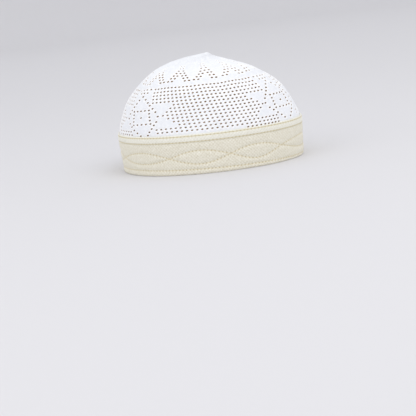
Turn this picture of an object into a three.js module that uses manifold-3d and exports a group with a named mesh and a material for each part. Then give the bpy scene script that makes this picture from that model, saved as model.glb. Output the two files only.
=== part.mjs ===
import * as THREE from "three";
import { mergeVertices } from "three/addons/utils/BufferGeometryUtils.js";
import Module from "manifold-3d";

// A knitted cap: a dome of white knit pierced by eyelets, a padded quilted band,
// and a narrow binding on the band.
// Millimetres. +Z is up, the front of the cap is -Y, the wearer's right is -X, and the rim stands on z = 0.

// Plan of the band's outside: an egg, narrower at the front than at the back
const halfLengthAtRim = 97.1;
const halfLengthAtTop = 99.0;
const widthToLength = 0.84;
const bandNarrowing = 0.08;

// Heights of the seams above the floor
const hemSeam = 5.9;
const waveMiddle = 17.7;
const lowerSeam = 33.7;
const upperSeam = 39.4;
const bindingTop = 41.1;

// Thicknesses and clearances
const bandThickness = 3.2;
const rebateDepth = 1.5;
const rebateFoot = 26.2;
const knitThickness = 1.3;
const gap = 0.3;
const seamDepth = 0.45;
const seamHalfGap = 0.25;
const puffPerHeight = 0.05;
const lensPuffPerHeight = 0.07;
const channelShoulder = 0.25;
const bindingPuff = 0.6;
const lipRound = 0.2;
const lipSlope = 0.7;
const rimFlatInner = 2.9;
const rimFlatOuter = 0.8;
const rimRound = 1.1;

// The lenses between the two wave lines: where each starts, in degrees of girth from the front towards
// the wearer's right, half its height, and how far its middle is lifted
const lenses = [
  { start: 25.2, halfHeight: 7.0, lift: -1.0 },
  { start: 60.9, halfHeight: 7.0, lift: -0.2 },
  { start: 101.2, halfHeight: 5.75, lift: 0.55 },
  { start: 144.8, halfHeight: 6.3, lift: 0.0 },
  { start: 184.8, halfHeight: 6.3, lift: 0.0 },
  { start: 222.6, halfHeight: 6.3, lift: 0.0 },
  { start: 260.4, halfHeight: 6.3, lift: 0.0 },
  { start: 298.2, halfHeight: 6.3, lift: 0.0 },
  { start: 336.0, halfHeight: 6.0, lift: -0.8 },
];
const columnsPerLens = 11;
const bindingColumns = 54;

// The binding's soft bulge: part of the way up between its two seams, and share of its puff
const bindingBulge = [
  { part: 0.22, share: 0.7 },
  { part: 0.5, share: 1.0 },
  { part: 0.78, share: 0.6 },
];

// The dome, from its hidden lower edge to its tip.
// narrowing is how much slimmer the front half is than the back.
const domeSections = [
  { height: 27.0, halfLength: 96.6, halfWidth: 80.9, narrowing: 0.08, shiftBack: 0.0 },
  { height: 40.3, halfLength: 97.2, halfWidth: 81.3, narrowing: 0.08, shiftBack: 0.0 },
  { height: 46.6, halfLength: 96.0, halfWidth: 80.4, narrowing: 0.08, shiftBack: 0.4 },
  { height: 54.6, halfLength: 93.0, halfWidth: 78.1, narrowing: 0.07, shiftBack: 0.8 },
  { height: 69.9, halfLength: 85.4, halfWidth: 72.6, narrowing: 0.06, shiftBack: 1.0 },
  { height: 81.2, halfLength: 76.5, halfWidth: 66.6, narrowing: 0.045, shiftBack: 1.9 },
  { height: 91.2, halfLength: 64.6, halfWidth: 57.5, narrowing: 0.03, shiftBack: 3.7 },
  { height: 98.8, halfLength: 52.1, halfWidth: 47.9, narrowing: 0.02, shiftBack: 5.7 },
  { height: 104.9, halfLength: 37.9, halfWidth: 36.0, narrowing: 0.01, shiftBack: 8.4 },
  { height: 109.5, halfLength: 25.1, halfWidth: 24.5, narrowing: 0.0, shiftBack: 8.9 },
  { height: 112.3, halfLength: 15.5, halfWidth: 15.5, narrowing: 0.0, shiftBack: 4.8 },
  { height: 114.2, halfLength: 7.5, halfWidth: 7.5, narrowing: 0.0, shiftBack: -1.6 },
  { height: 115.3, halfLength: 2.4, halfWidth: 2.4, narrowing: 0.0, shiftBack: -5.4 },
];
const domeColumns = 54;
const domeRings = 16;
const hollowTopRadius = 12;
const tipRise = 0.2;

// Soft radial gathers round the tip
const gatherCount = 9;
const gatherRadius = 30;
const gatherDepth = 0.4;

// Eyelets: a five by five frame with one in its middle, inside a larger diamond of
// single eyelets, three times round
const eyeletRadius = 1.0;
const eyeletLength = 6;
const eyeletSides = 4;
const slopeStep = 0.01;
const framePitch = 3.28;
const frameMiddle = 22.3;
const motifs = [
  { girth: 14.8, leanPerMm: -0.045, lift: 0.3, pitchDegrees: 3.85 },
  { girth: 118.2, leanPerMm: 0.265, lift: -0.4, pitchDegrees: 4.05 },
  { girth: 246.5, leanPerMm: 0.11, lift: 0.0, pitchDegrees: 4.05 },
];
// The knit hangs lower behind the second motif: degrees of girth past its line, and the drop there
const sagRows = [
  { past: -24, drop: 0.0 },
  { past: -12, drop: 0.7 },
  { past: 0, drop: 1.8 },
  { past: 8, drop: 2.5 },
  { past: 60, drop: 2.4 },
  { past: 120, drop: 0.0 },
];
// Rows of the diamond: height over the upper seam, and half its width in degrees of girth
const diamondRows = [
  { height: 42.6, halfWidth: 0.0 },
  { height: 39.6, halfWidth: 3.9 },
  { height: 36.4, halfWidth: 6.6 },
  { height: 33.3, halfWidth: 9.0 },
  { height: 30.0, halfWidth: 11.6 },
  { height: 26.6, halfWidth: 13.8 },
  { height: 22.0, halfWidth: 15.2 },
  { height: 17.0, halfWidth: 13.1 },
  { height: 14.0, halfWidth: 10.6 },
  { height: 10.8, halfWidth: 8.1 },
  { height: 7.8, halfWidth: 5.5 },
  { height: 4.7, halfWidth: 3.2 },
];

const wasm = await Module();
wasm.setup();

// A point of a section's outline. angle 0 is the front and grows towards the wearer's right.
function outlinePoint(section, angle) {
  const slimmer = 1 - section.narrowing * Math.cos(angle);
  return new THREE.Vector3(
    -section.halfWidth * Math.sin(angle) * slimmer,
    -section.halfLength * Math.cos(angle) + section.shiftBack,
    section.height,
  );
}

// The band's outline at a height, moved outwards by offset.
function bandSection(height, offset) {
  const halfLength = THREE.MathUtils.mapLinear(height, 0, upperSeam, halfLengthAtRim, halfLengthAtTop);
  return {
    height,
    halfLength: halfLength + offset,
    halfWidth: halfLength * widthToLength + offset,
    narrowing: bandNarrowing,
    shiftBack: 0,
  };
}

// The band's plan as a curve, which turns a girth in degrees into the outline's angle.
class BandPlan extends THREE.Curve {
  getPoint(turn, target = new THREE.Vector3()) {
    return target.copy(outlinePoint(bandSection(upperSeam, 0), turn * 2 * Math.PI));
  }
}
const bandPlan = new BandPlan();
bandPlan.arcLengthDivisions = 720;

function angleAtGirth(girth) {
  return bandPlan.getUtoTmapping(THREE.MathUtils.euclideanModulo(girth / 360, 1)) * 2 * Math.PI;
}

// A closed skin through rings of points that run down the outside and up the inside.
// With tips it is capped at both ends, and without them it closes on itself.
function skinOf(rings, tips) {
  const columns = rings[0].length;
  const points = rings.flat();
  const triangles = [];
  const joins = tips ? rings.length - 1 : rings.length;
  for (let i = 0; i < joins; i++) {
    const here = i * columns;
    const next = ((i + 1) % rings.length) * columns;
    for (let j = 0; j < columns; j++) {
      const k = (j + 1) % columns;
      triangles.push(here + j, here + k, next + j, here + k, next + k, next + j);
    }
  }
  if (tips) {
    const last = (rings.length - 1) * columns;
    const first = points.push(tips[0]) - 1;
    const end = points.push(tips[1]) - 1;
    for (let j = 0; j < columns; j++) {
      const k = (j + 1) % columns;
      triangles.push(first, k, j);
      triangles.push(end, last + j, last + k);
    }
  }
  return new THREE.BufferGeometry().setFromPoints(points).setIndex(triangles);
}

function solidOf(geometry) {
  const bare = geometry.clone();
  bare.deleteAttribute("normal");
  bare.deleteAttribute("uv");
  const merged = mergeVertices(bare, 1e-4);
  return new wasm.Manifold(
    new wasm.Mesh({
      numProp: 3,
      vertProperties: new Float32Array(merged.attributes.position.array),
      triVerts: new Uint32Array(merged.index.array),
    }),
  );
}

function geometryOf(solid) {
  const mesh = solid.getMesh();
  const geometry = new THREE.BufferGeometry();
  geometry.setAttribute("position", new THREE.BufferAttribute(mesh.vertProperties, 3));
  geometry.setIndex(new THREE.BufferAttribute(mesh.triVerts, 1));
  return geometry;
}

function fabric(colour, roughness) {
  return new THREE.MeshStandardMaterial({ color: colour, roughness, metalness: 0 });
}

function namedMesh(name, geometry, material) {
  const flat = geometry.toNonIndexed();
  flat.computeVertexNormals();
  const mesh = new THREE.Mesh(flat, material);
  mesh.name = name;
  return mesh;
}

// Columns of the band: each lens is cut into equal steps. swell runs from 0 at its ends to 1 at its middle.
function bandColumns() {
  const columns = [];
  lenses.forEach((lens, i) => {
    const end = i + 1 < lenses.length ? lenses[i + 1].start : lenses[0].start + 360;
    for (let j = 0; j < columnsPerLens; j++) {
      const part = j / columnsPerLens;
      const angle = angleAtGirth(THREE.MathUtils.lerp(lens.start, end, part));
      columns.push({ angle, lens, swell: Math.sin(Math.PI * part) });
    }
  });
  return columns;
}

// The band's section at one column: from the flat of the rim up the quilted outside,
// then down the plain inside.
function bandProfile({ lens, swell }) {
  const middle = waveMiddle + lens.lift * swell ** 2;
  const spread = Math.max(lens.halfHeight * swell, seamHalfGap);
  const low = middle - spread;
  const high = middle + spread;
  const top = lowerSeam - gap / 2;
  const channel = (from, to) => {
    const puff = puffPerHeight * (to - from) - seamDepth / 2;
    return [
      { height: THREE.MathUtils.lerp(from, to, channelShoulder), offset: puff },
      { height: THREE.MathUtils.lerp(from, to, 1 - channelShoulder), offset: puff },
    ];
  };
  return [
    { height: 0, offset: -rimFlatInner },
    { height: 0, offset: -rimFlatOuter },
    { height: rimRound, offset: 0 },
    { height: hemSeam, offset: -seamDepth },
    ...channel(hemSeam, low),
    { height: low, offset: -seamDepth },
    { height: middle, offset: lensPuffPerHeight * (high - low) - seamDepth },
    { height: high, offset: -seamDepth },
    ...channel(high, top),
    { height: top, offset: -seamDepth },
    { height: top, offset: -rebateDepth },
    { height: rebateFoot, offset: -rebateDepth },
    { height: rebateFoot, offset: -bandThickness },
    { height: rimRound, offset: -bandThickness },
  ].reverse();
}

function bandGeometry() {
  const columns = bandColumns();
  const profiles = columns.map(bandProfile);
  const rings = profiles[0].map((_, row) =>
    columns.map((column, j) => {
      const at = profiles[j][row];
      return outlinePoint(bandSection(at.height, at.offset), column.angle);
    }),
  );
  return skinOf(rings);
}

// The binding: a soft strip between the two upper seams, with a thin lip above the upper one.
function bindingGeometry() {
  const foot = lowerSeam + gap / 2;
  const profile = [
    { height: foot, offset: -seamDepth },
    ...bindingBulge.map((row) => ({
      height: THREE.MathUtils.lerp(foot, upperSeam, row.part),
      offset: bindingPuff * row.share,
    })),
    { height: upperSeam, offset: -seamDepth },
    { height: bindingTop - lipRound, offset: -lipRound },
    { height: bindingTop, offset: -lipSlope },
    { height: bindingTop, offset: -rebateDepth },
    { height: foot, offset: -rebateDepth },
  ].reverse();
  const rings = profile.map((at) =>
    Array.from({ length: bindingColumns }, (_, j) =>
      outlinePoint(bandSection(at.height, at.offset), (j / bindingColumns) * 2 * Math.PI),
    ),
  );
  return skinOf(rings);
}

// The dome's sections at even steps along smooth curves through the table.
function smoothSections() {
  const length = new THREE.CatmullRomCurve3(
    domeSections.map((row) => new THREE.Vector3(row.halfLength, row.height, row.shiftBack)),
  );
  const width = new THREE.CatmullRomCurve3(
    domeSections.map((row) => new THREE.Vector3(row.halfWidth, row.height, row.narrowing)),
  );
  return Array.from({ length: domeRings }, (_, i) => {
    const along = i / (domeRings - 1);
    const a = length.getPoint(along);
    const b = width.getPoint(along);
    return { height: a.y, halfLength: a.x, halfWidth: b.x, narrowing: b.z, shiftBack: a.z };
  });
}

// The same sections moved inwards by the knit's thickness, square to the profile.
function innerSections(sections) {
  return sections.map((row, i) => {
    const below = sections[Math.max(i - 1, 0)];
    const above = sections[Math.min(i + 1, sections.length - 1)];
    const run = above.halfLength - below.halfLength;
    const rise = above.height - below.height;
    const slope = new THREE.Vector2(run, rise).normalize();
    return {
      ...row,
      halfLength: row.halfLength - slope.y * knitThickness,
      halfWidth: row.halfWidth - slope.y * knitThickness,
      height: i === 0 ? row.height : row.height + slope.x * knitThickness,
    };
  });
}

function domeRing(row, gathered) {
  const reach = THREE.MathUtils.clamp(row.halfLength / gatherRadius, 0, 1);
  const depth = gathered ? gatherDepth * Math.sin(Math.PI * reach) : 0;
  return Array.from({ length: domeColumns }, (_, j) => {
    const angle = (j / domeColumns) * 2 * Math.PI;
    const point = outlinePoint(row, angle);
    point.z += depth * Math.cos(gatherCount * angle);
    return point;
  });
}

function domeGeometry(sections) {
  const inner = innerSections(sections).filter((row) => row.halfLength > hollowTopRadius);
  const tipOf = (row, rise) => new THREE.Vector3(0, row.shiftBack, row.height + rise);
  const outerRings = sections.map((row) => domeRing(row, true)).reverse();
  const innerRings = inner.map((row) => domeRing(row, false));
  const tips = [tipOf(sections.at(-1), tipRise), tipOf(inner.at(-1), tipRise)];
  return skinOf([...outerRings, ...innerRings], tips);
}

// The dome's outside at a girth and a height over the upper seam, and the direction that faces out there.
function domePlace(sections, girth, height) {
  const wanted = upperSeam + height;
  const above = sections.findIndex((row) => row.height > wanted);
  const high = sections[above];
  const low = sections[above - 1];
  const part = (wanted - low.height) / (high.height - low.height);
  const angle = angleAtGirth(girth);
  const foot = outlinePoint(low, angle);
  const head = outlinePoint(high, angle);
  const along = outlinePoint(low, angle + slopeStep).sub(outlinePoint(low, angle - slopeStep));
  const out = head.clone().sub(foot).cross(along).normalize();
  return { point: foot.lerp(head, part), out };
}

function eyeletCutter(place) {
  const cutter = new THREE.CylinderGeometry(eyeletRadius, eyeletRadius, eyeletLength, eyeletSides);
  cutter.applyQuaternion(new THREE.Quaternion().setFromUnitVectors(new THREE.Vector3(0, 1, 0), place.out));
  cutter.translate(place.point.x, place.point.y, place.point.z);
  return solidOf(cutter);
}

function lineOf(motif, height) {
  return motif.girth + motif.leanPerMm * height;
}

// How much lower the knit hangs at a girth and height.
function sagAt(girth, height) {
  const past = girth - lineOf(motifs[1], height);
  const above = sagRows.findIndex((row) => row.past > past);
  if (above < 1) return 0;
  const low = sagRows[above - 1];
  const high = sagRows[above];
  return THREE.MathUtils.mapLinear(past, low.past, high.past, low.drop, high.drop);
}

// Girths and heights of one motif's eyelets.
function motifEyelets(motif) {
  const places = [];
  const add = (height, across) => {
    const raised = height + motif.lift;
    const girth = lineOf(motif, raised) + across;
    places.push({ girth, height: raised - sagAt(girth, raised) });
  };
  for (let row = -2; row <= 2; row++) {
    for (let column = -2; column <= 2; column++) {
      const onFrame = Math.max(Math.abs(row), Math.abs(column)) === 2;
      const inMiddle = row === 0 && column === 0;
      if (onFrame || inMiddle) add(frameMiddle + row * framePitch, column * motif.pitchDegrees);
    }
  }
  for (const row of diamondRows) {
    add(row.height, row.halfWidth);
    if (row.halfWidth > 0) add(row.height, -row.halfWidth);
  }
  return places;
}

function piercedDome() {
  const sections = smoothSections();
  let solid = solidOf(domeGeometry(sections));
  for (const eyelet of motifs.flatMap(motifEyelets)) {
    solid = solid.subtract(eyeletCutter(domePlace(sections, eyelet.girth, eyelet.height)));
  }
  return geometryOf(solid);
}

const cap = new THREE.Group();
cap.add(namedMesh("crown", piercedDome(), fabric(0xf5f7fb, 0.9)));
cap.add(namedMesh("band", bandGeometry(), fabric(0xdad5c6, 0.85)));
cap.add(namedMesh("top_binding", bindingGeometry(), fabric(0xe4e1d4, 0.85)));

export default cap;
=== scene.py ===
# A white knitted cap with a quilted cream band, standing on its rim.
# Sizes are in millimetres until a mesh is made. Girth is measured round the band's top from the front
# towards the wearer's right, and height is measured up from the floor.
import math
import bpy
import numpy as np
from mathutils import Matrix, Vector
from mathutils.geometry import delaunay_2d_cdt


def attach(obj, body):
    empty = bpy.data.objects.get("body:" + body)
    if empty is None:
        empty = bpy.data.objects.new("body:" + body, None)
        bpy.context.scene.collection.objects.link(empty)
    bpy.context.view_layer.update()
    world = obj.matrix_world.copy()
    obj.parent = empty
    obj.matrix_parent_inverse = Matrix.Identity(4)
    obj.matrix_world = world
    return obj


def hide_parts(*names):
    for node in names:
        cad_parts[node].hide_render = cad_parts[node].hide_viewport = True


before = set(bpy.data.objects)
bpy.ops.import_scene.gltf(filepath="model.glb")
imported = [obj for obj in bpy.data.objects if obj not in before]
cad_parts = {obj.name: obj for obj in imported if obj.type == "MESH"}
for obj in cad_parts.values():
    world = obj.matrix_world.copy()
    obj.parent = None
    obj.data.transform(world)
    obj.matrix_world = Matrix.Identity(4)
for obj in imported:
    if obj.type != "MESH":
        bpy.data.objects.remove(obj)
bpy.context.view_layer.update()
print("frame loaded")


# the band's plan, and the heights of its seams. The hem seam sways here, where the solids have it straight
capPlan = {
    "halfLengthAtRim": 97.1,
    "halfLengthAtTop": 99.0,
    "widthToLength": 0.84,
    "narrowing": 0.08,      # how much slimmer the front half is than the back
    "hemSeam": 4.2,         # mean height, and how far it sways: the rim is turned up less at the front
    "hemSway": 1.8,
    "hemHighest": 140.0,
    "waveMiddle": 17.7,
    "lowerSeam": 33.7,
    "upperSeam": 39.4,
    "lipTop": 41.1,
}
# where the two waved seams cross in degrees of girth, and for the lens after each crossing its half
# height and how far its middle lies over the waves' middle, both in mm
waveLenses = np.array([
    (184.8, 6.3, 0.0), (222.6, 6.3, 0.0), (260.4, 6.3, 0.0), (298.2, 6.3, 0.0), (336.0, 6.0, -0.8),
    (385.2, 7.0, -1.0), (420.9, 7.0, -0.2), (461.2, 5.75, 0.55), (504.8, 6.3, 0.0),
])
# height, half length, half width, narrowing, shift towards the back
domeSections = np.array([
    (27.0, 96.6, 80.9, 0.08, 0.0),
    (40.3, 97.2, 81.3, 0.08, 0.0),
    (46.6, 96.0, 80.4, 0.08, 0.4),
    (54.6, 93.0, 78.1, 0.07, 0.8),
    (69.9, 85.4, 72.6, 0.06, 1.0),
    (81.2, 76.5, 66.6, 0.045, 1.9),
    (91.2, 64.6, 57.5, 0.03, 3.7),
    (98.8, 52.1, 47.9, 0.02, 5.7),
    (104.9, 37.9, 36.0, 0.01, 8.4),
    (109.5, 25.1, 24.5, 0.0, 8.9),
    (112.3, 15.5, 15.5, 0.0, 4.8),
    (114.2, 7.5, 7.5, 0.0, -1.6),
    (115.3, 1.5, 1.5, 0.0, -5.6),
])


def outline(halfLength, halfWidth, narrowing, shiftBack, angle):
    slimmer = 1 - narrowing * np.cos(angle)
    return -halfWidth * np.sin(angle) * slimmer, -halfLength * np.cos(angle) + shiftBack


def bandPoints(angle, height, offset):
    rim, top = capPlan["halfLengthAtRim"], capPlan["halfLengthAtTop"]
    halfLength = rim + (top - rim) * height / capPlan["upperSeam"]
    x, y = outline(halfLength + offset, halfLength * capPlan["widthToLength"] + offset,
                   capPlan["narrowing"], 0, angle)
    return np.stack([x, y, height + 0 * x], -1)


def runAlong(x, y):
    # how far along a line each of its points is
    return np.concatenate([[0], np.cumsum(np.hypot(np.diff(x), np.diff(y)))])


planAngles = np.linspace(0, 2 * np.pi, 2881)
planX, planY = outline(capPlan["halfLengthAtTop"], capPlan["halfLengthAtTop"] * capPlan["widthToLength"],
                       capPlan["narrowing"], 0, planAngles)
planArcs = runAlong(planX, planY)
fullGirth = planArcs[-1]
mmPerDegree = fullGirth / 360


def angleAt(girth):
    return np.interp(np.mod(girth, fullGirth), planArcs, planAngles)


# each soft unevenness: random seed, number of waves, their turns round the cap, and a wave's height in mm
ripples = {
    "bandBroad": (4, 6, (3, 14), 40.0),
    "bandPucker": (3, 5, (170, 260), 9.0),
    "bandRim": (5, 5, (5, 30), 30.0),
    "bindingBroad": (7, 6, (4, 40), 20.0),
    "bindingPucker": (8, 5, (150, 240), 9.0),
    "crownBroad": (21, 8, (3, 17), 45.0),
    "crownFine": (22, 8, (30, 90), 9.0),
}


def ripple(girth, height, name):
    # from about -1 to 1, and it meets itself round the cap
    seed, count, around, tall = ripples[name]
    dice = np.random.default_rng(seed)
    total = 0
    for _ in range(count):
        turns = dice.integers(around[0], around[1] + 1)
        rise = dice.uniform(-1, 1) * 2 * np.pi / tall
        phase = dice.uniform(0, 2 * np.pi)
        total = total + np.sin(2 * np.pi * turns * girth / fullGirth + rise * height + phase)
    return total / count ** 0.5 / 1.5


def linear(hexValue):
    parts = [int(hexValue[i:i + 2], 16) / 255 for i in (1, 3, 5)]
    return tuple(c / 12.92 if c < 0.04045 else ((c + 0.055) / 1.055) ** 2.4 for c in parts) + (1.0,)


def addNode(tree, kind, settings=None, inputs=None):
    made = tree.nodes.new(kind)
    for key, value in (settings or {}).items():
        setattr(made, key, value)
    for key, value in (inputs or {}).items():
        if isinstance(value, bpy.types.NodeSocket):
            tree.links.new(value, made.inputs[key])
        else:
            made.inputs[key].default_value = value
    return made


def mathNode(tree, operation, *values, clamp=False):
    settings = {"operation": operation, "use_clamp": clamp}
    return addNode(tree, "ShaderNodeMath", settings, dict(enumerate(values))).outputs[0]


def mixNode(tree, share, under, over):
    return addNode(tree, "ShaderNodeMix", {"data_type": "RGBA"}, {0: share, 6: under, 7: over}).outputs[2]


def rangeNode(tree, value, fromEnds, toEnds):
    ends = dict(zip(("From Min", "From Max", "To Min", "To Max"), fromEnds + toEnds))
    return addNode(tree, "ShaderNodeMapRange", inputs={"Value": value, **ends}).outputs[0]


def attributeNode(tree, name):
    return addNode(tree, "ShaderNodeAttribute", {"attribute_name": name}).outputs["Fac"]


def cloudNode(tree, scale, roughness, toEnds):
    # soft random patches, with the middle of their range spread over toEnds
    cloud = addNode(tree, "ShaderNodeTexNoise", inputs={
        "Vector": addNode(tree, "ShaderNodeTexCoord").outputs["Object"],
        "Scale": scale, "Detail": 3.0, "Roughness": roughness})
    return rangeNode(tree, cloud.outputs["Fac"], (0.3, 0.7), toEnds)


def clothPlace(tree):
    # a spot's girth and its run over the cloth, both in mm
    chart = addNode(tree, "ShaderNodeUVMap", {"uv_map": "cloth"})
    place = addNode(tree, "ShaderNodeSeparateXYZ", inputs={0: chart.outputs[0]})
    return place.outputs["X"], place.outputs["Y"]


def newMaterial(name):
    material = bpy.data.materials.new(name)
    material.use_nodes = True
    material.node_tree.nodes.clear()
    return material, material.node_tree


def surfaceNodes(tree, colour, height, relief, strength, look):
    # the shader itself, with a relief of so many mm, and look as names and values of its inputs
    bump = addNode(tree, "ShaderNodeBump", inputs={
        "Height": height, "Distance": relief * 0.001, "Strength": strength})
    cloth = addNode(tree, "ShaderNodeBsdfPrincipled", inputs={
        "Base Color": colour, "Normal": bump.outputs[0], **look})
    addNode(tree, "ShaderNodeOutputMaterial", inputs={0: cloth.outputs[0]})


def newObject(name, data):
    made = bpy.data.objects.new(name, data)
    bpy.context.scene.collection.objects.link(made)
    return made


def meshObject(name, points, faces, material, cloth=None, values=None):
    # cloth is each point's place on the cloth in mm, and values are named numbers on the points
    corners = points[faces[:, :3]]
    if np.einsum("ij,ij->i", corners[:, 0], np.cross(corners[:, 1], corners[:, 2])).sum() < 0:
        faces = faces[:, ::-1]
    mesh = bpy.data.meshes.new(name)
    mesh.from_pydata((points * 0.001).tolist(), [], faces.tolist())
    if cloth is not None:
        corner = np.zeros(len(mesh.loops), np.int32)
        mesh.loops.foreach_get("vertex_index", corner)
        place = cloth[corner].reshape(len(faces), -1, 2)
        across = place[..., 0]
        wraps = across.max(1) - across.min(1) > fullGirth / 2
        across[wraps] += np.where(across[wraps] < fullGirth / 2, fullGirth, 0)
        layer = mesh.uv_layers.new(name="cloth")
        layer.uv.foreach_set("vector", place.reshape(-1).astype(np.float32))
    for key, value in (values or {}).items():
        attribute = mesh.attributes.new(key, "FLOAT", "POINT")
        attribute.data.foreach_set("value", value.astype(np.float32))
    mesh.polygons.foreach_set("use_smooth", np.ones(len(faces), bool))
    mesh.materials.append(material)
    mesh.update()
    return newObject(name, mesh)


def ringFaces(rings, columns, closed):
    # four-sided faces between rings of points, and from the last ring to the first where closed
    here = np.arange(rings if closed else rings - 1)[:, None] * columns
    after = (here + columns) % (rings * columns)
    j = np.arange(columns)[None, :]
    k = (j + 1) % columns
    return np.stack([here + j, here + k, after + k, after + j], -1).reshape(-1, 4)


def stripMesh(name, rows, girth, offset, material, marks):
    # a closed strip round the cap, from rows whose first two numbers are height and offset
    points = bandPoints(angleAt(girth), rows[:, :1] + 0 * girth, offset)
    cloth = np.stack([girth, runAlong(rows[:, 0], rows[:, 1])[:, None] + 0 * girth], -1)
    return meshObject(name, points.reshape(-1, 3), ringFaces(len(rows), girth.shape[1], True), material,
                      cloth.reshape(-1, 2), {key + "Away": value.reshape(-1) for key, value in marks.items()})


# the seams' lines on the band
def waves(girth):
    # heights of the two waved seams, which change places at the first crossing, at the back
    starts = np.append(waveLenses[:, 0], waveLenses[0, 0] + 360) * mmPerDegree
    turned = starts[0] + np.mod(girth - starts[0], fullGirth)
    lens = np.interp(turned, starts, np.arange(len(starts)))
    middles = np.arange(-1, len(starts)) + 0.5
    half, shift = (np.interp(lens, middles, np.concatenate([column[-1:], column, column[:1]]))
                   for column in waveLenses.T[1:])
    swell = np.sin(np.pi * lens)
    middle = capPlan["waveMiddle"] + shift * swell ** 2
    return middle + half * swell, middle - half * swell


def seamLines(girth):
    waveOne, waveTwo = waves(girth)
    flat = 0 * girth
    return {
        "hem": capPlan["hemSeam"] + capPlan["hemSway"] * np.cos(
            2 * np.pi * girth / fullGirth - math.radians(capPlan["hemHighest"])),
        "waveOne": waveOne,
        "waveTwo": waveTwo,
        "lower": capPlan["lowerSeam"] + flat,
        "upper": capPlan["upperSeam"] + flat,
    }


def seamDistance(girth, height, names):
    # signed distance square to each seam in mm, kept short of the point where it means nothing
    step, reach = 0.5, 4.0
    before, here, after = seamLines(girth - step), seamLines(girth), seamLines(girth + step)
    away = {}
    for name in names:
        slope = (after[name] - before[name]) / (2 * step)
        away[name] = np.clip((height - here[name]) / np.sqrt(1 + slope ** 2), -reach, reach)
    return away


stitchPlan = {
    "stitches": 151,       # round the cap, 3.8 mm each
    # how far along a stitch each seam starts
    "shift": {"hem": 0.0, "waveOne": 0.35, "waveTwo": 0.7, "lower": 0.15, "upper": 0.6},
}


def holePulse(girth, name):
    # 1 at a seam's needle holes and 0 between them
    turns = stitchPlan["stitches"] * girth / fullGirth + stitchPlan["shift"][name]
    return (0.5 + 0.5 * np.cos(2 * np.pi * turns)) ** 4


knitLook = {
    "yarn": "#fcfdfe",
    "yarnShade": "#eef0f6",
    # painted highlight on the loops round the eyelets
    "raised": "#ffffff",
    "inside": "#9c7004",
    "wales": 432,            # stitches round the cap, each 1.3 mm wide at the band
    "courseHeight": 1.1,
    "decreaseHeight": 78.0,  # profile length above which half the stitches are left
    "legSlant": 5.0,         # how far a stitch's legs lean, as a phase of the courses
    "loopShare": 0.35,
    "stitchTone": 0.55,
    "cloudTone": 0.5,
    "cloudScale": 320.0,
    "relief": 0.16,
    # an eyelet's wall, 0.1 at its outer edge and 1 at its inner one, has painted brown shade from a fifth of
    # the way in
    "darkens": (0.08, 0.26),
    "sheen": 0.15,           # this and the gloss fade out where it is dark
    "gloss": 0.25,
}


def knitMaterial():
    # polyester and cotton yarn, machine knitted: matt, a little fuzzy, in columns of small V stitches
    look = knitLook
    material, tree = newMaterial("white fine knit")
    girth, run = clothPlace(tree)
    high = mathNode(tree, "GREATER_THAN", run, look["decreaseHeight"])
    perMm = look["wales"] / fullGirth
    wale = mathNode(tree, "MULTIPLY", girth, rangeNode(tree, high, (0.0, 1.0), (perMm, perMm / 2)))
    leg = mathNode(tree, "ABSOLUTE", mathNode(tree, "SINE", mathNode(tree, "MULTIPLY", wale, 2 * math.pi)))
    slant = mathNode(tree, "MULTIPLY", mathNode(tree, "PINGPONG", wale, 0.5), look["legSlant"])
    course = mathNode(tree, "MULTIPLY_ADD", run, 2 * math.pi / look["courseHeight"], slant)
    loops = mathNode(tree, "MULTIPLY_ADD", mathNode(tree, "SINE", course), look["loopShare"],
                     1 - look["loopShare"])
    stitch = mathNode(tree, "MULTIPLY", leg, loops)
    cloud = cloudNode(tree, look["cloudScale"], 0.5, (0.0, look["cloudTone"]))
    tone = mathNode(tree, "MULTIPLY_ADD", stitch, look["stitchTone"], cloud, clamp=True)
    face = mixNode(tree, tone, linear(look["yarnShade"]), linear(look["yarn"]))
    # the loops round the eyelets get a painted highlight, whiter than the rest of the knit
    loopFace = mixNode(tree, attributeNode(tree, "raised"), face, linear(look["raised"]))
    # the eyelets' walls take a painted brown shade, deepening inwards
    within = rangeNode(tree, attributeNode(tree, "within"), look["darkens"], (0.0, 1.0))
    colour = mixNode(tree, within, loopFace, linear(look["inside"]))
    sheen, gloss = (rangeNode(tree, within, (0.0, 1.0), (look[key], 0.0)) for key in ("sheen", "gloss"))
    surfaceNodes(tree, colour, stitch, look["relief"], 0.7, {
        "Roughness": 0.9, "Sheen Weight": sheen, "Sheen Roughness": 0.5, "Specular IOR Level": gloss})
    return material


bandLook = {
    "cloth": "#d7d0b8",
    "clothLight": "#fcf9ed",
    "seamShade": "#ebe2c4",
    "bindingSeamShade": "#d6c99c",
    "needleShade": "#ccbd95",
    # the binding is the band's cloth, painted lighter for the light its upward-facing strip catches
    "bindingCloth": "#e4e1d1",
    "bindingLight": "#fbf9ef",
    "thread": "#f3ebd0",
    "threadShade": "#e3d7b2",
    "bindingThread": "#e6dbb9",
    "bindingThreadShade": "#d8cca2",
    "twillPitch": 2.4,    # about three times the real thread spacing, as wide as it shows in a small picture
    "weaveStrong": 0.13,  # how much the tone changes along each of the two diagonals
    "weaveFaint": 0.08,
    "weaveTone": 0.9,
    "baseTone": 0.05,
    "slub": 0.27,         # thicker places in the yarn, 1.5 mm and up
    "slubScale": 620.0,
    "relief": 0.07,
    "seamWidth": 0.45,
    "holeWidth": 0.75,
    "holeSharpness": 3.0,
}


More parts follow.
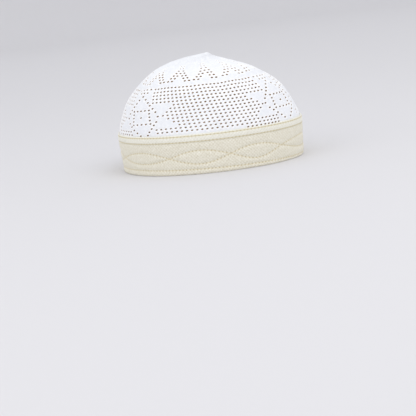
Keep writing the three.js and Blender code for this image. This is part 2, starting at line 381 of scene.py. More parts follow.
def seamMarks(tree, girth, names):
    # how near a seam is, and how near one of its needle holes, each from 0 to 1
    near, holes = None, None
    for name in names:
        away = attributeNode(tree, name + "Away")
        square = mathNode(tree, "MULTIPLY", away, away)
        line, hole = (mathNode(tree, "EXPONENT", mathNode(tree, "MULTIPLY", square, -1 / bandLook[key] ** 2))
                      for key in ("seamWidth", "holeWidth"))
        turns = mathNode(tree, "MULTIPLY_ADD", girth, 2 * math.pi * stitchPlan["stitches"] / fullGirth,
                         2 * math.pi * stitchPlan["shift"][name])
        half = mathNode(tree, "MULTIPLY_ADD", mathNode(tree, "COSINE", turns), 0.5, 0.5, clamp=True)
        spot = mathNode(tree, "MULTIPLY", hole, mathNode(tree, "POWER", half, bandLook["holeSharpness"]))
        near = line if near is None else mathNode(tree, "MAXIMUM", near, line)
        holes = spot if holes is None else mathNode(tree, "MAXIMUM", holes, spot)
    return near, holes


def twillMaterial(name, plain, light, seams, seamShade, drawn, pierced):
    # cotton twill over thin wadding: matt, with crossed diagonals, and painted shade along its seams by the
    # share drawn, and in its needle holes by the share pierced
    look = bandLook
    material, tree = newMaterial(name)
    girth, run = clothPlace(tree)
    turns = round(fullGirth / look["twillPitch"] / math.sqrt(2))
    across = 2 * math.pi * turns / fullGirth
    strong, faint = (mathNode(tree, "SINE", mathNode(tree, "MULTIPLY_ADD", run, across, mathNode(
        tree, "MULTIPLY", girth, across * lean))) for lean in (1, -1))
    crossed = mathNode(tree, "MULTIPLY_ADD", faint, look["weaveFaint"],
                       mathNode(tree, "MULTIPLY_ADD", strong, look["weaveStrong"], 0.5))
    slub = cloudNode(tree, look["slubScale"], 0.6, (-look["slub"], look["slub"]))
    tone = mathNode(tree, "MULTIPLY_ADD", crossed, look["weaveTone"],
                    mathNode(tree, "ADD", slub, look["baseTone"]), clamp=True)
    face = mixNode(tree, tone, linear(plain), linear(light))
    near, holes = seamMarks(tree, girth, seams)
    # painted shade along the seams, then in the needle holes
    sewn = mixNode(tree, mathNode(tree, "MULTIPLY", near, drawn), face, linear(seamShade))
    colour = mixNode(tree, mathNode(tree, "MULTIPLY", holes, pierced), sewn, linear(look["needleShade"]))
    surfaceNodes(tree, colour, crossed, look["relief"], 0.6, {
        "Roughness": 0.85, "Sheen Weight": 0.1, "Sheen Roughness": 0.5, "Specular IOR Level": 0.25})
    return material


def threadMaterial(name, shade, light):
    # spun polyester sewing thread: slightly glossier than the cloth, with its twist as fine bands
    material, tree = newMaterial(name)
    twist = addNode(tree, "ShaderNodeTexWave", {"wave_type": "BANDS", "bands_direction": "DIAGONAL"}, {
        "Vector": addNode(tree, "ShaderNodeTexCoord").outputs["Object"], "Scale": 900.0}).outputs["Fac"]
    colour = mixNode(tree, twist, linear(shade), linear(light))
    surfaceNodes(tree, colour, twist, 0.05, 0.5, {"Roughness": 0.6, "Specular IOR Level": 0.35})
    return material


whiteKnit = knitMaterial()
bandSeams = ("hem", "waveOne", "waveTwo")
bindingSeams = ("lower", "upper")
creamTwill = twillMaterial("cream cotton twill", bandLook["cloth"], bandLook["clothLight"], bandSeams,
                           bandLook["seamShade"], 0.3, 1.0)
# the binding's cloth is the band's, with painted light where its strip faces up
bindingTwill = twillMaterial("cream binding twill painted lighter", bandLook["bindingCloth"], bandLook["bindingLight"],
                             bindingSeams, bandLook["bindingSeamShade"], 0.85, 0.7)
creamThread = threadMaterial("cream sewing thread", bandLook["threadShade"], bandLook["thread"])
tanThread = threadMaterial("tan sewing thread", bandLook["bindingThreadShade"], bandLook["bindingThread"])
print("materials made")

bandShape = {
    "columns": 906,        # six to a stitch
    "rowStep": 0.62,
    "valley": 0.2,         # how deep the seams pull the cloth in
    "puff": 0.68,          # how far the wadding stands over the seams' depth
    "puffReach": 1.9,
    "puffSharpness": 1.3,
    "pucker": 0.09,        # small wrinkles across each seam
    "puckerReach": 2.2,
    "dimple": 0.13,        # at each needle hole
    "dimpleReach": 0.7,
    "unevenness": 0.2,
    "rimUnevenness": 0.15,
    "rimHeight": 4.0,      # how high up the unevenness of the rim goes
    "outerRound": 1.3,
    "innerRound": 0.9,
    "thickness": 3.2,
    "rebateDepth": 1.5,
    "rebateFoot": 26.2,
    "edgeGap": 0.15,
}
farAway = 9.0              # a distance from a seam at which nothing of it shows


def bandRelief(girth, height):
    shape = bandShape
    away = seamDistance(girth, height, bandSeams + ("lower",))
    nearest = np.min([np.abs(d) for d in away.values()], axis=0)
    puffed = 1 - np.exp(-(nearest / shape["puffReach"]) ** shape["puffSharpness"])
    wrinkle = ripple(girth, height, "bandPucker") * np.exp(-(nearest / shape["puckerReach"]) ** 2)
    broad = ripple(girth, height, "bandBroad")
    dimples = sum(holePulse(girth, name) * np.exp(-(away[name] / shape["dimpleReach"]) ** 2)
                  for name in bandSeams)
    return (-shape["valley"] + shape["puff"] * puffed + shape["pucker"] * wrinkle
            + shape["unevenness"] * broad * puffed - shape["dimple"] * dimples)


def makeBand():
    shape = bandShape
    top = capPlan["lowerSeam"] - shape["edgeGap"]
    outer, inner = shape["outerRound"], shape["innerRound"]
    # height, offset, and whether the row is on the outer face
    rows = [(top, 0.0, 1.0)]
    rows += [(height, 0.0, 1.0) for height in np.arange(outer, top, shape["rowStep"])[::-1]]
    rows += [(outer * (1 - math.sin(a)), outer * (math.cos(a) - 1), 0.0)
             for a in np.radians(np.arange(15, 91, 15))]
    rows += [(inner * (1 - math.cos(a)), -shape["thickness"] + inner * (1 - math.sin(a)), 0.0)
             for a in np.radians([0, 30, 60, 90])]
    rows += [(height, -shape["thickness"], 0.0) for height in np.linspace(4, shape["rebateFoot"], 8)]
    rows += [(shape["rebateFoot"], -shape["rebateDepth"], 0.0), (top, -shape["rebateDepth"], 0.0)]
    rows = np.array(rows)
    g, height = np.meshgrid(np.arange(shape["columns"]) * fullGirth / shape["columns"], rows[:, 0])
    onFace = rows[:, 2][:, None] > 0
    # the relief fades out over the rounded lower edge
    face = np.where(onFace, bandRelief(g, height), 0)
    offset = rows[:, 1][:, None] + face * np.clip((height - outer + 0.6) / 1.6, 0, 1)
    low = ripple(g, 0 * g, "bandRim") * shape["rimUnevenness"] * (height < shape["rimHeight"])
    away = seamDistance(g, height, bandSeams)
    return stripMesh("quilted_band", rows, g, offset + low, creamTwill,
                     {name: np.where(onFace, away[name], farAway) for name in bandSeams})


band = makeBand()
print("band made")

bindingShape = {
    "columns": 906,
    "foldEdge": 32.9,      # its folded lower edge lies on the band, below its seam
    "foldUnder": 0.09,     # offset of the underside there, clear of the band
    "edgeLift": 0.30,      # and how much further out its upper side lies
    "bulge": 0.6,
    "valley": 0.14,
    "lip": 0.02,
    "innerDepth": 1.6,
    "unevenness": 0.10,
    "pucker": 0.06,
    "puckerReach": 1.8,
    "dimple": 0.08,
    "dimpleReach": 0.7,
    "turnedUnder": 2.0,    # hidden along each edge, for the flat size only
}
lowerSewnAt = bindingShape["foldUnder"] + bindingShape["edgeLift"] - bindingShape["valley"]


def makeBinding():
    shape = bindingShape
    foot = capPlan["lowerSeam"] + bandShape["edgeGap"]
    seam, top, lip = (capPlan[key] for key in ("lowerSeam", "upperSeam", "lipTop"))
    fold, under, lift = shape["foldEdge"], shape["foldUnder"], shape["edgeLift"]
    # height, offset, and how much of the soft relief a row takes
    rows = [(foot, -shape["innerDepth"], 0.0), (foot, -0.2, 0.0), (foot - 0.1, under, 0.0),
            (fold + 0.2, under, 0.3), (fold, under + lift / 2, 0.5), (fold + 0.15, under + lift, 0.8),
            (fold + 0.45, under + lift + 0.04, 1.0), (seam, lowerSewnAt, 1.0)]
    for part in np.linspace(0.05, 0.95, 10):
        swell = math.sin(math.pi * part ** 0.6) ** 0.6
        rows.append((seam + (top - seam) * part, lowerSewnAt + (shape["bulge"] - lowerSewnAt) * swell
                     - part * (lowerSewnAt + shape["valley"]) * (1 - swell), 1.0))
    rows += [(top, -shape["valley"], 1.0), (top + 0.35, shape["lip"], 1.0), (top + 0.8, -0.08, 0.8),
             (top + 1.25, -0.3, 0.6), (lip - 0.1, -0.7, 0.4), (lip, -1.15, 0.2), (lip - 0.12, -1.5, 0.1),
             (lip - 0.6, -shape["innerDepth"], 0.0)]
    rows = np.array(rows)
    g, height = np.meshgrid(np.arange(shape["columns"]) * fullGirth / shape["columns"], rows[:, 0])
    share = rows[:, 2][:, None]
    away = seamDistance(g, height, bindingSeams)
    relief = shape["unevenness"] * ripple(g, height, "bindingBroad")
    wrinkle = shape["pucker"] * ripple(g, height, "bindingPucker")
    for name in bindingSeams:
        pricked = shape["dimple"] * holePulse(g, name) * np.exp(-(away[name] / shape["dimpleReach"]) ** 2)
        relief = relief + wrinkle * np.exp(-(away[name] / shape["puckerReach"]) ** 2) - pricked
    return stripMesh("binding_strip", rows, g, rows[:, 1][:, None] + share * relief, bindingTwill,
                     {name: np.where(share > 0.3, away[name], farAway) for name in bindingSeams})


binding = makeBinding()
print("binding made")

crownShape = {
    "thickness": 1.0,        # a little thinner than the solid's
    "hiddenFoot": 27.0,
    "hiddenBelow": 38.0,     # the mesh is coarser here, behind the band
    "plainStep": 1.9,        # spacing of the mesh where the knit is plain
    "ringSides": 8,
    "edgeSink": 0.22,        # the eyelets' edges roll in
    "edgeSwell": 0.14,       # and the loops round them stand out
    "taper": 0.25,           # share of an eyelet's width that is left at the inner skin
    "unevenness": 0.45,
    "fineUnevenness": 0.10,
    "gather": 0.35,          # depth of the soft gathers that run up to the tip
    "gathers": 18,
    "sink": 0.65,            # how far the stretched knit lies inside the dome's plan, towards the top
    "topColumns": 54,
    "topHeight": 111.9,
    "tipRings": [112.6, 113.4, 114.1, 114.7, 115.2],
    "tip": 115.8,
}
eyeletChart = {
    "halfLength": 1.28, "halfHeight": 0.70,     # half sizes of an eyelet in mm
    "tall": [(20, 1.0), (48, 1.25), (60, 1.5)],  # how much taller they are at these heights
    "slant": -14.0,                             # degrees, higher towards the front
    "rowOne": 48.2, "rowPitch": 3.28,           # heights over the upper seam
    # columns left out at each end of a panel's rows, so that plain petals stay
    "panelMargins": [0, 0, 0, 0, 0, 5, 4, 3, 2, 3, 4, 5, 0, 0, 0],
    "lastRowColumns": 9,
    "panelColumns": 27, "panelStart": 0.107, "panelPitch": 0.0303,
    # how far a panel's stitches wander to the front, in columns, at these rows and columns
    "wanderRows": [0, 4, 8, 13], "wanderColumns": [0, 4, 8, 13, 18, 22, 26],
    "wander": [[0.0, 0.05, 0.2, 0.3, 0.15, 0.0, 0.0], [0.0, 0.05, 0.2, 0.26, 0.2, 0.12, 0.0],
               [0.1, 0.33, 0.5, 0.57, 0.55, 0.5, 0.2], [0.41, 0.96, 1.11, 1.0, 0.83, 0.58, 0.18]],
    "starMiddle": 22.3, "starEyelets": 1.1,
    "starTops": [(48.5, (-7.3, -2.4, 2.4, 7.3)), (45.5, (-4.3, 0.0, 4.3))],
    "chevronFoot": 53.7, "chevronCentres": [35.1, 66.1, 94.7, 123.6], "chevrons": 12,
    "chevronRise": [(5, 1.2), (35, 0.9), (66, 0.3), (95, 0.0), (124, 0.2), (154, 1.2), (365, 1.2)],
    # the knit hangs lower behind the second star: degrees past its line, and mm
    "sag": [(-24, 0.0), (-12, 0.7), (0, 1.8), (8, 2.5), (60, 2.4), (120, 0.0)],
}
# centre line of each star in degrees of girth: at the seam, and its lean in degrees a mm, then how far
# its frame is lifted in mm, and the frame's column pitch in degrees
stars = [(14.8, -0.045, 0.3, 3.85), (118.2, 0.265, -0.4, 4.05), (246.5, 0.11, 0.0, 4.05)]
# rows of the diamond round each star: height over the upper seam, half width in degrees
diamondRows = [(42.6, 0.0), (39.6, 3.9), (36.4, 6.6), (33.3, 9.0), (30.0, 11.6), (26.6, 13.8),
               (22.0, 15.2), (17.0, 13.1), (14.0, 10.6), (10.8, 8.1), (7.8, 5.5), (4.7, 3.2)]


def domeProfile():
    # a smooth curve through the sections, with steps that follow their spacing
    table = domeSections
    knots = np.concatenate([[0], np.cumsum(np.linalg.norm(np.diff(table[:, :2], axis=0), axis=1) ** 0.5)])
    ends = np.vstack([2 * table[0] - table[1], table, 2 * table[-1] - table[-2]])
    t = np.concatenate([[2 * knots[0] - knots[1]], knots, [2 * knots[-1] - knots[-2]]])
    rows = []
    for i in range(1, len(ends) - 2):
        for u in np.linspace(t[i], t[i + 1], 50, endpoint=i == len(ends) - 3):
            a1 = ends[i - 1] + (ends[i] - ends[i - 1]) * (u - t[i - 1]) / (t[i] - t[i - 1])
            a2 = ends[i] + (ends[i + 1] - ends[i]) * (u - t[i]) / (t[i + 1] - t[i])
            a3 = ends[i + 1] + (ends[i + 2] - ends[i + 1]) * (u - t[i + 1]) / (t[i + 2] - t[i + 1])
            b1 = a1 + (a2 - a1) * (u - t[i - 1]) / (t[i + 1] - t[i - 1])
            b2 = a2 + (a3 - a2) * (u - t[i]) / (t[i + 2] - t[i])
            rows.append(b1 + (b2 - b1) * (u - t[i]) / (t[i + 1] - t[i]))
    return np.array(rows)


profile = domeProfile()
profileRun = runAlong(profile[:, 0], (profile[:, 1] + profile[:, 2]) / 2)
turn = np.linspace(0, 2 * np.pi, 361)
profileGirth = np.array([np.hypot(*[np.diff(c) for c in outline(*row[1:], turn)]).sum() for row in profile])
magnify = fullGirth / profileGirth
# the chart's upward measure, stretched as the girth shrinks, so that small shapes keep their form
chartUp = np.concatenate([[0], np.cumsum(np.diff(profileRun) * (magnify[1:] + magnify[:-1]) / 2)])


def upAtHeight(height):
    return np.interp(height, profile[:, 0], chartUp)


def stretchAt(up):
    return np.interp(up, chartUp, magnify)


def domeSurface(across, up):
    # points and outward directions for places on the chart
    def at(acrossHere, upHere):
        row = [np.interp(upHere, chartUp, profile[:, i]) for i in range(5)]
        x, y = outline(*row[1:], angleAt(acrossHere))
        return np.stack([x, y, row[0]], -1)
    step = 0.2
    point = at(across, up)
    side = at(across + step, up) - at(across - step, up)
    rise = at(across, np.minimum(up + step, chartUp[-1])) - at(across, np.maximum(up - step, 0))
    out = np.cross(rise, side)
    out /= np.linalg.norm(out, axis=1)[:, None]
    return point, out


def starLine(star, height):
    return stars[star % 3][0] + stars[star % 3][1] * height + (360 if star >= 3 else 0)


def eyeletPlaces():
    # (girth in degrees, height over the upper seam, size) of each eyelet
    chart, places = eyeletChart, []
    for panel in range(3):
        for row, margin in enumerate(chart["panelMargins"]):
            height = chart["rowOne"] - chart["rowPitch"] * row
            start, end = starLine(panel, height), starLine(panel + 1, height)
            last = row == len(chart["panelMargins"]) - 1
            for column in range(margin, chart["lastRowColumns"] if last else chart["panelColumns"] - margin):
                forward = np.interp(row, chart["wanderRows"], [np.interp(column, chart["wanderColumns"], line)
                                                               for line in chart["wander"]])
                part = chart["panelStart"] + chart["panelPitch"] * (column - forward)
                lift = 0.6 * max(0, 1 - column / 9) * max(0, 1 - row / 8)
                places.append((start + (end - start) * part, height + lift, 1.0))
    for star in range(3):
        lift, pitch = stars[star][2:]

        def add(height, across):
            places.append((starLine(star, height + lift) + across, height + lift, chart["starEyelets"]))
        for row in range(-2, 3):
            for column in range(-2, 3):
                if max(abs(row), abs(column)) == 2 or row == column == 0:
                    add(chart["starMiddle"] + row * chart["rowPitch"], column * pitch)
        for height, halfWidth in diamondRows:
            for side in ([-1, 1] if halfWidth else [0]):
                add(height, side * halfWidth)
        for height, offsets in chart["starTops"]:
            for across in offsets:
                places.append((starLine(star, height) + across, height, 1.0))
    seen = chart["chevronCentres"]
    hidden = chart["chevrons"] - len(seen)
    gapStep = (seen[0] + 360 - seen[-1]) / (hidden + 1)
    for centre in seen + [seen[-1] + gapStep * (i + 1) for i in range(hidden)]:
        rise = np.interp(centre, *zip(*chart["chevronRise"]))
        for step in range(7):
            height = chart["chevronFoot"] + rise + 2.55 * step - 0.06 * step ** 2
            facing = min(1.0, max(0.0, 0.5 + 1.2 * math.sin(math.radians(centre))))
            lean = -2.9 * math.cos(math.radians(centre - 12)) * step * facing
            outer, inner = max(2.6, 11.7 - 2.05 * step), 7.1 - 2.05 * step
            offsets = [-outer, outer]
            if step < 3:
                offsets += [-inner, inner]
            elif step == 3:
                offsets.append(0.0)
            size = (1.05, 1.05, 1.02, 1.0, 0.9, 0.6, 0.45)[step]
            places += [(centre + lean + across, height, size) for across in offsets]
    places = np.array(places)
    past = places[:, 0] - starLine(1, places[:, 1])
    places[:, 1] -= np.interp(past, *zip(*chart["sag"]))
    return places


def crownChart():
    # a triangle mesh on the chart, with a ring of points on each eyelet's edge and another round it
    shape, chart = crownShape, eyeletChart
    places = eyeletPlaces()
    across = np.mod(places[:, 0] * mmPerDegree, fullGirth)
    up = upAtHeight(places[:, 1] + capPlan["upperSeam"])
    turnSteps = np.arange(shape["ringSides"]) * 2 * np.pi / shape["ringSides"]
    slant = math.radians(chart["slant"])
    points, kinds, owners = [], [], []
    halfLength = chart["halfLength"] * places[:, 2]
    halfHeight = chart["halfHeight"] * places[:, 2] * np.interp(places[:, 1], *zip(*chart["tall"]))
    # mm on the dome for one on the chart, across and up, at each eyelet
    wide, high = (np.linalg.norm(domeSurface(across + x, up + y)[0] - domeSurface(across - x, up - y)[0],
                                 axis=1)[:, None] for x, y in ((0.5, 0.0), (0.0, 0.5)))
    for kind, grow in ((2, 0.0), (1, 0.62)):
        a = (halfLength + grow)[:, None] * np.cos(turnSteps)
        b = (halfHeight + grow)[:, None] * np.sin(turnSteps)
        ring = np.stack([across[:, None] + (a * math.cos(slant) - b * math.sin(slant)) / wide,
                         up[:, None] + (a * math.sin(slant) + b * math.cos(slant)) / high], -1)
        points.append(ring.reshape(-1, 2))
        kinds.append(np.full(a.size, kind))
        owners.append(np.repeat(np.arange(len(places)), shape["ringSides"]))
    dice = np.random.default_rng(11)
    foot, top = upAtHeight(shape["hiddenFoot"]), upAtHeight(shape["topHeight"])
    plain = []
    level = foot
    while level < top:
        hidden = level < upAtHeight(shape["hiddenBelow"])
        space = shape["plainStep"] * stretchAt(level) * (1.6 if hidden else 1.0)
        count = int(round(fullGirth / space))
        row = (np.arange(count) + dice.uniform(0, 1)) * fullGirth / count
        still = 0.0 if level == foot else 0.18
        plain.append(np.stack([row + dice.uniform(-still, still, count) * space,
                               level + dice.uniform(-still, still, count) * space], -1))
        level += space * 0.87
    plain = np.concatenate(plain)
    plain = plain[plain[:, 1] < top - 0.7 * shape["plainStep"] * stretchAt(top)]
    plain[:, 0] = np.mod(plain[:, 0], fullGirth)
    # plain points keep clear of the eyelets
    clear = np.ones(len(plain), bool)
    for i in range(len(up)):
        near = np.nonzero(np.abs(plain[:, 1] - up[i]) < 3.0 * stretchAt(up[i]))[0]
        dx = np.abs(plain[near, 0] - across[i])
        dx = np.minimum(dx, fullGirth - dx) / stretchAt(up[i])
        dy = (plain[near, 1] - up[i]) / stretchAt(up[i])
        clear[near[(dx / (halfLength[i] + 1.15)) ** 2 + (dy / (halfHeight[i] + 1.15)) ** 2 < 1]] = False
    plain = plain[clear]
    rim = np.stack([np.arange(shape["topColumns"]) * fullGirth / shape["topColumns"],
                    np.full(shape["topColumns"], top)], -1)
    points = np.concatenate(points + [plain, rim])
    kinds = np.concatenate(kinds + [np.zeros(len(plain)), np.full(len(rim), 3)]).astype(int)
    owners = np.concatenate(owners + [np.full(len(plain) + len(rim), -1)]).astype(int)
    points[:, 0] = np.mod(points[:, 0], fullGirth)
    # the chart is triangulated with a margin on both sides, and each triangle is kept once
    margin = 30.0
    left, right = np.nonzero(points[:, 0] > fullGirth - margin)[0], np.nonzero(points[:, 0] < margin)[0]
    source = np.concatenate([np.arange(len(points)), left, right])
    spread = points[source].copy()
    spread[len(points):len(points) + len(left), 0] -= fullGirth
    spread[len(points) + len(left):, 0] += fullGirth
    made = delaunay_2d_cdt([Vector(p) for p in spread.tolist()], [], [], 0, 1e-7, True)
    spots = np.array([tuple(p) for p in made[0]])
    first = np.array([ids[0] for ids in made[3]])
    triangles = np.array([f for f in made[2] if len(f) == 3])
    middle = spots[triangles].mean(1)
    triangles = first[triangles[(middle[:, 0] >= 0) & (middle[:, 0] < fullGirth)]]
    triangles = source[triangles]
    kind, owner = kinds[triangles], owners[triangles]
    opening = (kind == 2).all(1) & (owner[:, 0] == owner[:, 1]) & (owner[:, 1] == owner[:, 2])
    outside = (kind == 3).all(1)
    # middle of the eyelet that each ring point belongs to
    middles = np.where((owners >= 0)[:, None], np.stack([across, up], -1)[owners], points)
    return points, kinds, triangles[~opening & ~outside], middles, len(places)


def looseEdges(triangles):
    # directed edges that only one triangle has
    edges = np.concatenate([triangles[:, [0, 1]], triangles[:, [1, 2]], triangles[:, [2, 0]]])
    size = int(edges.max()) + 1
    forward, backward = edges[:, 0] * size + edges[:, 1], edges[:, 1] * size + edges[:, 0]
    return edges[~np.isin(forward, backward)]


def makeCrown():
    shape = crownShape
    chart, kinds, triangles, middles, eyelets = crownChart()
    # rings of points from the chart's top edge to the tip
    rimStart = len(chart) - shape["topColumns"]
    tops = shape["tipRings"]
    for up in upAtHeight(np.array(tops)):
        chart = np.concatenate([chart, np.stack([chart[rimStart:rimStart + shape["topColumns"], 0],
                                                 np.full(shape["topColumns"], up)], -1)])
    j = np.arange(shape["topColumns"])
    k = (j + 1) % shape["topColumns"]
    extra = []
    for i in range(len(tops)):
        a, b = rimStart + i * shape["topColumns"], rimStart + (i + 1) * shape["topColumns"]
        extra += [np.stack([a + j, a + k, b + k], -1), np.stack([a + j, b + k, b + j], -1)]
    tip = len(chart)
    last = rimStart + len(tops) * shape["topColumns"]
    extra.append(np.stack([last + j, last + k, np.full(len(j), tip)], -1))
    triangles = np.concatenate([triangles] + extra)
    kinds = np.concatenate([kinds, np.full(len(chart) - len(kinds), 3)])
    point, out = domeSurface(chart[:, 0], chart[:, 1])
    point = np.vstack([point, [0, domeSections[-1][4], shape["tip"]]])
    out = np.vstack([out, [0, 0, 1]])
    kinds = np.append(kinds, 3)
    chart = np.vstack([chart, [0, chartUp[-1]]])
    run = np.interp(chart[:, 1], chartUp, profileRun)
    height = np.interp(chart[:, 1], chartUp, profile[:, 0])
    edge = np.where(kinds == 2, -shape["edgeSink"], np.where(kinds == 1, shape["edgeSwell"], 0.0))
    # each kind of relief fades in from the band and out again towards the tip
    free = np.clip((height - 41) / 6, 0, 1) * np.clip((114.5 - height) / 4, 0, 1)
    relief = shape["unevenness"] * free * ripple(chart[:, 0], run, "crownBroad")
    relief = relief + shape["fineUnevenness"] * free * ripple(chart[:, 0], run, "crownFine")
    relief = relief - shape["sink"] * np.clip((height - 65) / 25, 0, 1) * np.clip((116.5 - height) / 3, 0, 1)
    gather = np.clip((height - 97) / 12, 0, 1) * np.clip((115.4 - height) / 2.5, 0, 1)
    turns = shape["gathers"] * chart[:, 0] / fullGirth
    relief = relief + shape["gather"] * gather * np.sin(2 * np.pi * turns)
    outer = point + out * (relief + edge)[:, None]
    # the inner skin takes the relief but not the eyelets' edges, and each eyelet narrows towards it
    inward = chart.copy()
    hole = np.nonzero(kinds == 2)[0]
    shift = middles[hole] - chart[hole]
    shift[:, 0] -= fullGirth * np.round(shift[:, 0] / fullGirth)
    inward[hole] += shift * (1 - shape["taper"])
    innerPoint, innerOut = domeSurface(inward[:-1, 0], inward[:-1, 1])
    innerPoint = np.vstack([innerPoint, point[-1]])
    innerOut = np.vstack([innerOut, out[-1]])
    inner = innerPoint + innerOut * (relief - shape["thickness"])[:, None]
    count = len(outer)
    rim = looseEdges(triangles)
    walls = np.concatenate([np.stack([rim[:, 1], rim[:, 0], rim[:, 0] + count], -1),
                            np.stack([rim[:, 1], rim[:, 0] + count, rim[:, 1] + count], -1)])
    faces = np.concatenate([triangles, triangles[:, ::-1] + count, walls])
    cloth = np.stack([chart[:, 0], run], -1)
    # where on an eyelet's wall each point lies, which sets how much painted shade it takes
    within = np.concatenate([np.where(kinds == 2, 0.1, 0.0), np.where(kinds == 2, 1.0, 0.0)])
    # painted highlight on the loops round the eyelets, on the outer skin only
    raised = np.concatenate([np.where(kinds == 1, 1.0, 0.0), np.zeros(count)])
    print("crown:", eyelets, "eyelets,", len(faces), "triangles,", len(rim), "edge lengths")
    return meshObject("knitted_crown", np.concatenate([outer, inner]), faces, whiteKnit,
                      np.concatenate([cloth, cloth]), {"within": within, "raised": raised})


crown = makeCrown()
print("crown made")

stitchLook = {
    "length": 2.3, "width": 0.5, "height": 0.28, "raise": 0.03, "wobble": 0.06, "seed": 5,
}


def stitchTree():
    # one flattened bead of thread at each point of a seam's line, lying along it and facing out
    tree = bpy.data.node_groups.new("stitches along a seam", "GeometryNodeTree")
    tree.is_modifier = True
    tree.interface.new_socket("Geometry", in_out="INPUT", socket_type="NodeSocketGeometry")
    sockets = {}
    for name, kind in (("Length", "Float"), ("Width", "Float"), ("Height", "Float"), ("Wobble", "Float"),
                       ("Seed", "Int"), ("Thread", "Material")):
        made = tree.interface.new_socket(name, in_out="INPUT", socket_type="NodeSocket" + kind)
        sockets[name] = made.identifier
    tree.interface.new_socket("Geometry", in_out="OUTPUT", socket_type="NodeSocketGeometry")
    given = addNode(tree, "NodeGroupInput").outputs
    seam = addNode(tree, "GeometryNodeMeshToCurve", inputs={"Mesh": given["Geometry"]})
    places = addNode(tree, "GeometryNodeCurveToPoints", {"mode": "EVALUATED"}, {"Curve": seam.outputs[0]})
    size = addNode(tree, "ShaderNodeCombineXYZ", inputs={
        0: given["Length"], 1: given["Width"], 2: given["Height"]})
    bead = addNode(tree, "GeometryNodeMeshUVSphere", inputs={"Segments": 8, "Rings": 5, "Radius": 0.5})
    lying = addNode(tree, "GeometryNodeTransform", inputs={
        "Geometry": bead.outputs[0], "Rotation": (0.0, math.pi / 2, 0.0)})
    stitch = addNode(tree, "GeometryNodeTransform", inputs={
        "Geometry": lying.outputs[0], "Scale": size.outputs[0]})
    along = addNode(tree, "FunctionNodeAlignRotationToVector", {"axis": "X"}, {
        "Vector": places.outputs["Tangent"]})
    outward = addNode(tree, "GeometryNodeInputNamedAttribute", {"data_type": "FLOAT_VECTOR"}, {
        "Name": "outward"})
    facing = addNode(tree, "FunctionNodeAlignRotationToVector", {"axis": "Z", "pivot_axis": "X"}, {
        "Rotation": along.outputs[0], "Vector": outward.outputs[0]})
    tilt = addNode(tree, "FunctionNodeRandomValue", inputs={
        "Min": mathNode(tree, "MULTIPLY", given["Wobble"], -1.0), "Max": given["Wobble"],
        "Seed": given["Seed"]})
    tilted = addNode(tree, "FunctionNodeRotateRotation", {"rotation_space": "LOCAL"}, {
        "Rotation": facing.outputs[0],
        "Rotate By": addNode(tree, "FunctionNodeEulerToRotation", inputs={
            0: addNode(tree, "ShaderNodeCombineXYZ", inputs={2: tilt.outputs[1]}).outputs[0]}).outputs[0]})
    placed = addNode(tree, "GeometryNodeInstanceOnPoints", inputs={
        "Points": places.outputs[0], "Instance": stitch.outputs[0], "Rotation": tilted.outputs[0]})
    real = addNode(tree, "GeometryNodeRealizeInstances", inputs={0: placed.outputs[0]})
    smooth = addNode(tree, "GeometryNodeSetShadeSmooth", inputs={0: real.outputs[0]})
    dressed = addNode(tree, "GeometryNodeSetMaterial", inputs={
        "Geometry": smooth.outputs[0], "Material": given["Thread"]})
    addNode(tree, "NodeGroupOutput", inputs={0: dressed.outputs[0]})
    return tree, sockets


stitches, stitchSockets = stitchTree()


def sewSeams(name, seams, offsets, thread):
    # closed lines with a point at the middle of each stitch, which the tree turns into stitches
    count = stitchPlan["stitches"]
    points, edges, outward = [], [], []
    for seam, offset in zip(seams, offsets):
        girth = (np.arange(count) + 0.5 - stitchPlan["shift"][seam]) * fullGirth / count
        height = seamLines(girth)[seam]
        here = bandPoints(angleAt(girth), height, offset)
        beyond = bandPoints(angleAt(girth), height, offset + 1.0)
        start = sum(len(p) for p in points)
        points.append(here)
        outward.append(beyond - here)
        ids = np.arange(count)
        edges.append(np.stack([start + ids, start + (ids + 1) % count], -1))
    mesh = bpy.data.meshes.new(name)
    mesh.from_pydata((np.concatenate(points) * 0.001).tolist(), np.concatenate(edges).tolist(), [])
    attribute = mesh.attributes.new("outward", "FLOAT_VECTOR", "POINT")
    attribute.data.foreach_set("vector", np.concatenate(outward).reshape(-1).astype(np.float32))
    path = newObject(name, mesh)
    modifier = path.modifiers.new("stitches", "NODES")
    modifier.node_group = stitches
    for key, value in (("Length", "length"), ("Width", "width"), ("Height", "height")):
        modifier[stitchSockets[key]] = stitchLook[value] * 0.001
    modifier[stitchSockets["Wobble"]] = stitchLook["wobble"]
    modifier[stitchSockets["Seed"]] = stitchLook["seed"]
    modifier[stitchSockets["Thread"]] = thread
    evaluated = path.evaluated_get(bpy.context.evaluated_depsgraph_get())
    sewn = bpy.data.meshes.new_from_object(evaluated)
    bpy.data.objects.remove(path)
    return newObject(name, sewn)


bandStitches = sewSeams("band_stitches", bandSeams, [-bandShape["valley"] + stitchLook["raise"]] * 3,
                        creamThread)
bindingStitches = sewSeams("binding_stitches", bindingSeams,
                           [lowerSewnAt + stitchLook["raise"], -bindingShape["valley"] + stitchLook["raise"]],
                           tanThread)
print("seams sewn:", len(bandStitches.data.polygons) + len(bindingStitches.data.polygons), "faces")

for piece, node, slot in ((crown, "crown", "crown_knit"), (band, "band", "band_cloth"),
                          (binding, "top_binding", "binding_cloth")):
    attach(piece, "root")
    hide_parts(node)
for piece in (bandStitches, bindingStitches):
    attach(piece, "root")

studio = {
    "backdrop": "#dcdbdd",
    "flatRadius": 3.2,       # metres: a round floor whose edge sweeps up into a low wall
    "sweepRadius": 0.8,
    "wallTop": 1.1,
    "world": "#f4f5f8",
    "worldStrength": 1.04,
    "keyPower": 4.5,
    "fillPower": 2.8,
}


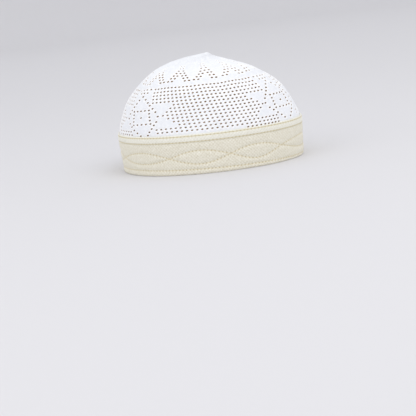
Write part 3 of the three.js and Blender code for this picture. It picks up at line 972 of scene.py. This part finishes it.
def makeStage():
    flat, bend = studio["flatRadius"], studio["sweepRadius"]
    line = [(flat * part, 0.0) for part in (0.05, 0.12, 0.3, 0.6, 1.0)]
    line += [(flat + bend * math.sin(a), bend * (1 - math.cos(a)))
             for a in np.radians(np.arange(7.5, 91, 7.5))]
    line.append((flat + bend, studio["wallTop"]))
    sides = 96
    points = [(r * math.cos(2 * math.pi * i / sides), r * math.sin(2 * math.pi * i / sides), z)
              for r, z in line for i in range(sides)] + [(0.0, 0.0, 0.0)]
    faces = ringFaces(len(line), sides, False)[:, [0, 3, 2, 1]].tolist()
    faces += [(len(points) - 1, j, (j + 1) % sides) for j in range(sides)]
    mesh = bpy.data.meshes.new("backdrop")
    mesh.from_pydata(points, [], faces)
    mesh.polygons.foreach_set("use_smooth", [True] * len(faces))
    material, tree = newMaterial("matt pale backdrop")
    paint = addNode(tree, "ShaderNodeBsdfPrincipled", inputs={
        "Base Color": linear(studio["backdrop"]), "Roughness": 0.9, "Specular IOR Level": 0.1})
    addNode(tree, "ShaderNodeOutputMaterial", inputs={0: paint.outputs[0]})
    mesh.materials.append(material)
    newObject("backdrop", mesh)
    world = bpy.data.worlds.new("studio air")
    bpy.context.scene.world = world
    world.use_nodes = True
    world.node_tree.nodes["Background"].inputs[0].default_value = linear(studio["world"])
    world.node_tree.nodes["Background"].inputs[1].default_value = studio["worldStrength"]


def direction(azimuth, elevation):
    a, e = math.radians(azimuth), math.radians(elevation)
    return Vector((math.sin(a) * math.cos(e), -math.cos(a) * math.cos(e), math.sin(e)))


def softLight(name, azimuth, elevation, distance, size, power):
    light = bpy.data.lights.new(name, "AREA")
    light.shape = "DISK"
    light.size = size
    light.energy = power
    lamp = newObject(name, light)
    back = direction(azimuth, elevation)
    lamp.location = back * distance + Vector((0, 0, 0.05))
    lamp.rotation_mode = "QUATERNION"
    lamp.rotation_quaternion = back.to_track_quat("Z", "Y")


cameraPlace = {
    "azimuth": -72.0, "elevation": 8.774, "roll": 6.643, "distance": 1284.0,
    "focalPixels": 1200.0, "imagePixels": 416.0,
    "originAt": (213.83, 160.51),    # where the middle of the rim's box lands in the image
}


def makeCamera():
    place = cameraPlace
    a, r = math.radians(place["azimuth"]), math.radians(place["roll"])
    back = direction(place["azimuth"], place["elevation"])
    right = Vector((math.cos(a), math.sin(a), 0))
    up = back.cross(right)
    columns = (right * math.cos(r) - up * math.sin(r), right * math.sin(r) + up * math.cos(r), back)
    turned = Matrix(columns).transposed()
    half = place["imagePixels"] / 2
    yaw = math.atan((place["originAt"][0] - half) / place["focalPixels"])
    pitch = math.atan((half - place["originAt"][1]) / place["focalPixels"])
    turned = turned @ Matrix.Rotation(yaw, 3, "Y") @ Matrix.Rotation(-pitch, 3, "X")
    data = bpy.data.cameras.new("camera")
    data.sensor_width = 36
    data.lens = place["focalPixels"] / place["imagePixels"] * 36
    data.dof.use_dof = False
    camera = newObject("camera", data)
    camera.matrix_world = Matrix.Translation(back * place["distance"] * 0.001) @ turned.to_4x4()
    bpy.context.scene.camera = camera


makeStage()
softLight("key light", -32, 48, 1.6, 1.2, studio["keyPower"])
softLight("fill light", -125, 28, 1.6, 1.4, studio["fillPower"])
makeCamera()
bpy.context.scene.view_settings.view_transform = "Standard"
print("stage set")
